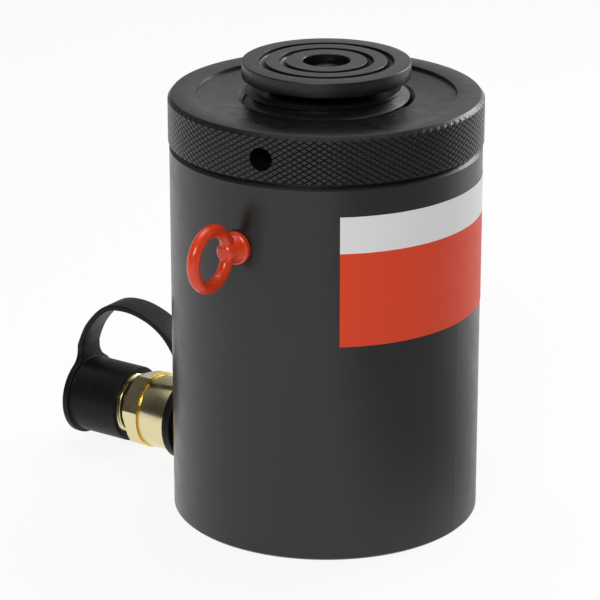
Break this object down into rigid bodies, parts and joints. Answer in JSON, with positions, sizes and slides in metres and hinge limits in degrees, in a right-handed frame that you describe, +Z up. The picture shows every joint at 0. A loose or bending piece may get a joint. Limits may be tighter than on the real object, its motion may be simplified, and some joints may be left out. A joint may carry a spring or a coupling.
{
  "type": "locking collar hydraulic cylinder",
  "caption": "Short single-acting hydraulic cylinder with a threaded plunger, a knurled lock collar, a swivel load cap, two lifting eyes and a capped quick coupler.",
  "frame": {"origin": "centre of the barrel's foot", "axes": "+Z up along the plunger, -X along the coupler, the lifting eyes on -Y and +Y"},
  "size_m": [0.19, 0.1896, 0.1911],
  "materials": {
    "barrel_paint": "satin charcoal enamel",
    "collar_steel": "black oxide, knurled",
    "plunger_steel": "black oxide thread",
    "cap_steel": "black oxide, turned",
    "machined_steel": "machined",
    "eye_paint": "gloss orange-red",
    "screw_steel": "black oxide",
    "bronze": "turned",
    "coupler_brass": "yellow plated",
    "valve_steel": "turned",
    "spring_steel": "drawn wire",
    "seal_rubber": "moulded",
    "seal_polymer": "moulded",
    "cap_rubber": "matt moulded",
    "label_film": "printed film"
  },
  "bodies": {
    "barrel": {"cylinder_barrel": "barrel_paint", "stop_ring": "machined_steel", "stop_ring_screw": "screw_steel", "guide_bush": "bronze", "lifting_eye_front": "eye_paint", "lifting_eye_rear": "eye_paint", "port_nipple": "valve_steel", "strap_ring": "cap_rubber", "coupler_body": "coupler_brass", "coupler_spigot": "coupler_brass", "mouth_seal": "seal_rubber", "poppet_guide": "valve_steel", "poppet_spring": "spring_steel", "cap_strap": "cap_rubber", "label": "label_film"},
    "collar": {"lock_collar": "collar_steel"},
    "ram": {"plunger": "plunger_steel", "wear_ring": "seal_polymer", "piston_seal": "seal_polymer", "seal_backup_ring": "seal_polymer", "cap_screw": "screw_steel"},
    "cap_turner": {"cap_washer": "spring_steel", "cap_disc_springs": "spring_steel"},
    "cap": {"swivel_cap": "cap_steel"},
    "poppet": {"coupler_poppet": "valve_steel", "poppet_seal": "seal_rubber"},
    "dust_cover": {"dust_cap": "cap_rubber"}
  },
  "joints": [
    {"name": "collar_turn", "type": "hinge", "parent": "barrel", "child": "collar", "pos_m": [0, 0, 0.1572], "axis": [0, 0, -1], "range_deg": [0, 2880]},
    {"name": "plunger_lift", "type": "slide", "parent": "barrel", "child": "ram", "axis": [0, 0, 1], "range_m": [0, 0.0508]},
    {"name": "cap_spin", "type": "hinge", "parent": "ram", "child": "cap_turner", "pos_m": [0, 0, 0.197], "axis": [0, 0, 1], "continuous": true},
    {"name": "cap_tilt", "type": "hinge", "parent": "cap_turner", "child": "cap", "pos_m": [0, 0, 0.197], "axis": [1, 0, 0], "range_deg": [-5, 5], "deforming": ["cap_disc_springs"]},
    {"name": "poppet_push", "type": "slide", "parent": "barrel", "child": "poppet", "axis": [1, 0, 0], "range_m": [0, 0.004], "stiffness_N_per_m": 1500, "springref_m": -0.001, "deforming": ["poppet_spring"]},
    {"name": "dust_cap_pull", "type": "slide", "parent": "barrel", "child": "dust_cover", "axis": [-1, 0, 0], "range_m": [0, 0.032], "deforming": ["cap_strap"]}
  ],
  "couplings": [
    {"joint": "plunger_lift", "follows": "collar_turn", "m_per_rad": 0.0010106}
  ]
}
